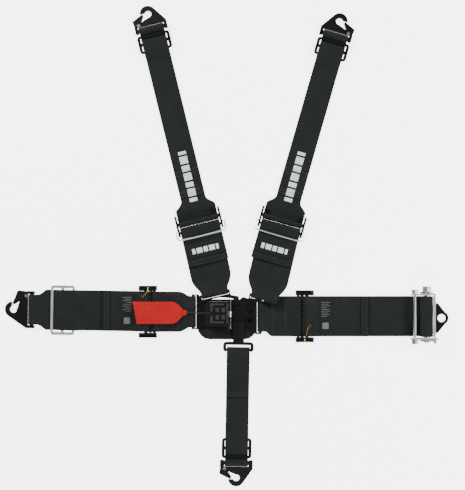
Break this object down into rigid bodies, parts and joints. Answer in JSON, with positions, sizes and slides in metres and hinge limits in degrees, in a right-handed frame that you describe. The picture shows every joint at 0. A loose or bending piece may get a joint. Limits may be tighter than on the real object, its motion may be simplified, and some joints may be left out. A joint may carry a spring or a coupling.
{
  "type": "five-point racing harness",
  "caption": "Five-point racing harness laid flat: latch buckle, two shoulder belts, lap belts and crotch belt, clip-in hooks and a ratchet.",
  "frame": {"origin": "on the back face of the buckle pad, under the post that the tongues hang on", "axes": "+Z out of the buckle away from the wearer, +Y towards the shoulder belts, +X towards the ratchet"},
  "size_m": [0.8356, 0.9052, 0.027],
  "materials": {
    "black_webbing": "matt woven polyester with dull edges",
    "pad_cover": "smooth woven nylon cover",
    "red_webbing": "matt woven polyester",
    "black_cord": "braided cord",
    "black_metal": "semi-gloss black coating",
    "chrome": "polished plating",
    "bright_steel": "plain bright steel",
    "zinc_steel": "warm zinc plating",
    "yellow_wire": "yellow plated wire"
  },
  "bodies": {
    "buckle": {"buckle_pad": "pad_cover", "latch_base": "black_metal", "latch_lever_pin": "bright_steel", "latch_spring": "bright_steel", "link_plate": "black_metal", "shoulder_left_tongue": "black_metal", "shoulder_right_tongue": "black_metal", "crotch_tongue": "black_metal"},
    "latch_lever": {"latch_lever": "black_metal"},
    "pull": {"pull_cord": "black_cord", "pull_tab": "red_webbing"},
    "lap_left_inner": {"lap_left_inner_webbing": "black_webbing", "lap_left_adjuster_frame": "black_metal", "lap_left_bar_spring": "yellow_wire"},
    "lap_left_bar": {"lap_left_adjuster_bar": "black_metal"},
    "lap_left_outer": {"lap_left_outer_webbing": "black_webbing", "lap_left_slide": "chrome"},
    "lap_left_hook": {"lap_left_hook": "black_metal", "lap_left_keeper_rivet": "bright_steel"},
    "lap_left_keeper": {"lap_left_keeper": "black_metal"},
    "lap_right_inner": {"lap_right_inner_webbing": "black_webbing", "lap_right_adjuster_frame": "black_metal", "lap_right_bar_spring": "yellow_wire"},
    "lap_right_bar": {"lap_right_adjuster_bar": "black_metal"},
    "lap_right_outer": {"lap_right_outer_webbing": "black_webbing"},
    "ratchet": {"ratchet_frame": "chrome", "ratchet_eye_tab": "black_metal", "ratchet_tie_bolt": "zinc_steel", "ratchet_tie_nut": "zinc_steel", "ratchet_pawl_spring": "zinc_steel"},
    "ratchet_spool": {"ratchet_spool": "zinc_steel", "ratchet_wound_webbing": "black_webbing", "ratchet_wheel_upper": "zinc_steel", "ratchet_wheel_lower": "zinc_steel"},
    "ratchet_pawl": {"ratchet_pawl": "zinc_steel"},
    "crotch": {"crotch_webbing": "black_webbing", "crotch_slide": "black_metal"},
    "crotch_hook": {"crotch_hook": "black_metal", "crotch_keeper_rivet": "bright_steel"},
    "crotch_keeper": {"crotch_keeper": "black_metal"},
    "shoulder_left_lower": {"shoulder_left_lower_webbing": "black_webbing", "shoulder_left_adjuster_frame": "black_metal", "shoulder_left_tail": "black_webbing"},
    "shoulder_left_bar": {"shoulder_left_adjuster_bar": "black_metal"},
    "shoulder_left_bail": {"shoulder_left_bail": "chrome"},
    "shoulder_left_upper": {"shoulder_left_upper_webbing": "black_webbing", "shoulder_left_slide": "black_metal"},
    "shoulder_left_hook": {"shoulder_left_hook": "black_metal", "shoulder_left_keeper_rivet": "bright_steel"},
    "shoulder_left_keeper": {"shoulder_left_keeper": "black_metal"},
    "shoulder_right_lower": {"shoulder_right_lower_webbing": "black_webbing", "shoulder_right_adjuster_frame": "black_metal", "shoulder_right_tail": "black_webbing"},
    "shoulder_right_bar": {"shoulder_right_adjuster_bar": "black_metal"},
    "shoulder_right_bail": {"shoulder_right_bail": "chrome"},
    "shoulder_right_upper": {"shoulder_right_upper_webbing": "black_webbing", "shoulder_right_slide": "black_metal"},
    "shoulder_right_hook": {"shoulder_right_hook": "black_metal", "shoulder_right_keeper_rivet": "bright_steel"},
    "shoulder_right_keeper": {"shoulder_right_keeper": "black_metal"}
  },
  "joints": [
    {"name": "latch_lever_open", "type": "hinge", "parent": "buckle", "child": "latch_lever", "pos_m": [-0.019, -0.001, 0.0206], "axis": [0, 1, 0], "range_deg": [0, 100]},
    {"name": "pull_tab_swing", "type": "hinge", "parent": "latch_lever", "child": "pull", "pos_m": [-0.056, 0.001, 0.0234], "axis": [0, 1, 0], "range_deg": [0, 60]},
    {"name": "lap_left_root", "type": "hinge", "parent": "buckle", "child": "lap_left_inner", "pos_m": [-0.088, 0.0026, 0.00555], "axis": [0, 1, 0], "range_deg": [-40, 0]},
    {"name": "lap_left_fold", "type": "hinge", "parent": "lap_left_inner", "child": "lap_left_outer", "pos_m": [-0.177, 0.0026, 0.0069], "axis": [0, 1, 0], "range_deg": [-45, 0]},
    {"name": "lap_left_bar_slide", "type": "slide", "parent": "lap_left_inner", "child": "lap_left_bar", "axis": [-1, 0, 0], "range_m": [-0.001, 0.001]},
    {"name": "lap_right_root", "type": "hinge", "parent": "buckle", "child": "lap_right_inner", "pos_m": [0.038, -0.0059, 0.0082], "axis": [0, -1, 0], "range_deg": [-40, 0]},
    {"name": "lap_right_fold", "type": "hinge", "parent": "lap_right_inner", "child": "lap_right_outer", "pos_m": [0.1255, -0.0059, 0.0069], "axis": [0, -1, 0], "range_deg": [-45, 0]},
    {"name": "lap_right_bar_slide", "type": "slide", "parent": "lap_right_inner", "child": "lap_right_bar", "axis": [1, 0, 0], "range_m": [-0.001, 0.001]},
    {"name": "ratchet_tilt", "type": "hinge", "parent": "lap_right_outer", "child": "ratchet", "pos_m": [0.35, -0.0059, 0.0145], "axis": [0, -1, 0], "range_deg": [-45, 15]},
    {"name": "ratchet_spin", "type": "hinge", "parent": "ratchet", "child": "ratchet_spool", "pos_m": [0.35, -0.0059, 0.0145], "axis": [0, 1, 0], "continuous": true},
    {"name": "ratchet_pawl_lift", "type": "hinge", "parent": "ratchet", "child": "ratchet_pawl", "pos_m": [0.3648, -0.0493, 0.0235], "axis": [0, 1, 0], "range_deg": [0, 20], "stiffness_Nm_per_rad": 0.01, "springref_deg": -17.19},
    {"name": "crotch_root", "type": "hinge", "parent": "buckle", "child": "crotch", "pos_m": [-0.0032, -0.069, 0.0056], "axis": [-0.9999, 0.0171, 0], "range_deg": [-45, 60]},
    {"name": "shoulder_left_root", "type": "hinge", "parent": "buckle", "child": "shoulder_left_lower", "pos_m": [-0.0472, 0.0368, 0.0096], "axis": [0.976, 0.2179, 0], "range_deg": [-30, 60]},
    {"name": "shoulder_left_fold", "type": "hinge", "parent": "shoulder_left_lower", "child": "shoulder_left_upper", "pos_m": [-0.07813, 0.175, 0.0069], "axis": [0.9711, 0.2386, 0], "range_deg": [-60, 30]},
    {"name": "shoulder_left_bar_slide", "type": "slide", "parent": "shoulder_left_lower", "child": "shoulder_left_bar", "axis": [-0.2386, 0.9711, 0], "range_m": [-0.001, 0.001]},
    {"name": "shoulder_left_bail_lift", "type": "hinge", "parent": "shoulder_left_lower", "child": "shoulder_left_bail", "pos_m": [-0.07539, 0.16383, 0.009], "axis": [-0.9711, -0.2386, 0], "range_deg": [0, 100]},
    {"name": "shoulder_right_root", "type": "hinge", "parent": "buckle", "child": "shoulder_right_lower", "pos_m": [0.0453, 0.0292, 0.0147], "axis": [0.9731, -0.2303, 0], "range_deg": [0, 60]},
    {"name": "shoulder_right_fold", "type": "hinge", "parent": "shoulder_right_lower", "child": "shoulder_right_upper", "pos_m": [0.07997, 0.17496, 0.0069], "axis": [0.9611, -0.2761, 0], "range_deg": [-60, 30]},
    {"name": "shoulder_right_bar_slide", "type": "slide", "parent": "shoulder_right_lower", "child": "shoulder_right_bar", "axis": [0.2761, 0.9611, 0], "range_m": [-0.001, 0.001]},
    {"name": "shoulder_right_bail_lift", "type": "hinge", "parent": "shoulder_right_lower", "child": "shoulder_right_bail", "pos_m": [0.07679, 0.16391, 0.009], "axis": [-0.9611, 0.2761, 0], "range_deg": [0, 100]},
    {"name": "lap_left_hook_swivel", "type": "hinge", "parent": "lap_left_outer", "child": "lap_left_hook", "pos_m": [-0.39147, 0.00668, 0.00687], "axis": [0.0162, 0.9999, 0], "range_deg": [-75, 75]},
    {"name": "lap_left_keeper_open", "type": "hinge", "parent": "lap_left_hook", "child": "lap_left_keeper", "pos_m": [-0.40121, 0.03284, 0.00597], "axis": [-0.0888, 0.0014, 0.9961], "range_deg": [0, 18], "stiffness_Nm_per_rad": 0.01, "springref_deg": -17.19},
    {"name": "shoulder_left_hook_swivel", "type": "hinge", "parent": "shoulder_left_upper", "child": "shoulder_left_hook", "pos_m": [-0.1665, 0.53472, 0.00687], "axis": [0.9711, 0.2386, 0], "range_deg": [-75, 75]},
    {"name": "shoulder_left_keeper_open", "type": "hinge", "parent": "shoulder_left_hook", "child": "shoulder_left_keeper", "pos_m": [-0.19029, 0.53933, 0.00584], "axis": [0.0242, -0.0987, -0.9948], "range_deg": [0, 18], "stiffness_Nm_per_rad": 0.01, "springref_deg": -17.19},
    {"name": "shoulder_right_hook_swivel", "type": "hinge", "parent": "shoulder_right_upper", "child": "shoulder_right_hook", "pos_m": [0.17943, 0.52121, 0.00687], "axis": [0.9611, -0.2761, 0], "range_deg": [-75, 75]},
    {"name": "shoulder_right_keeper_open", "type": "hinge", "parent": "shoulder_right_hook", "child": "shoulder_right_keeper", "pos_m": [0.20338, 0.52489, 0.00584], "axis": [0.0281, 0.0977, 0.9948], "range_deg": [0, 18], "stiffness_Nm_per_rad": 0.01, "springref_deg": -17.19},
    {"name": "crotch_hook_swivel", "type": "hinge", "parent": "crotch", "child": "crotch_hook", "pos_m": [-0.00683, -0.28147, 0.00687], "axis": [-0.9999, 0.0171, 0], "range_deg": [-75, 75]},
    {"name": "crotch_keeper_open", "type": "hinge", "parent": "crotch_hook", "child": "crotch_keeper", "pos_m": [-0.029, -0.29124, 0.00584], "axis": [-0.0017, -0.1016, 0.9948], "range_deg": [0, 18], "stiffness_Nm_per_rad": 0.01, "springref_deg": -17.19}
  ]
}
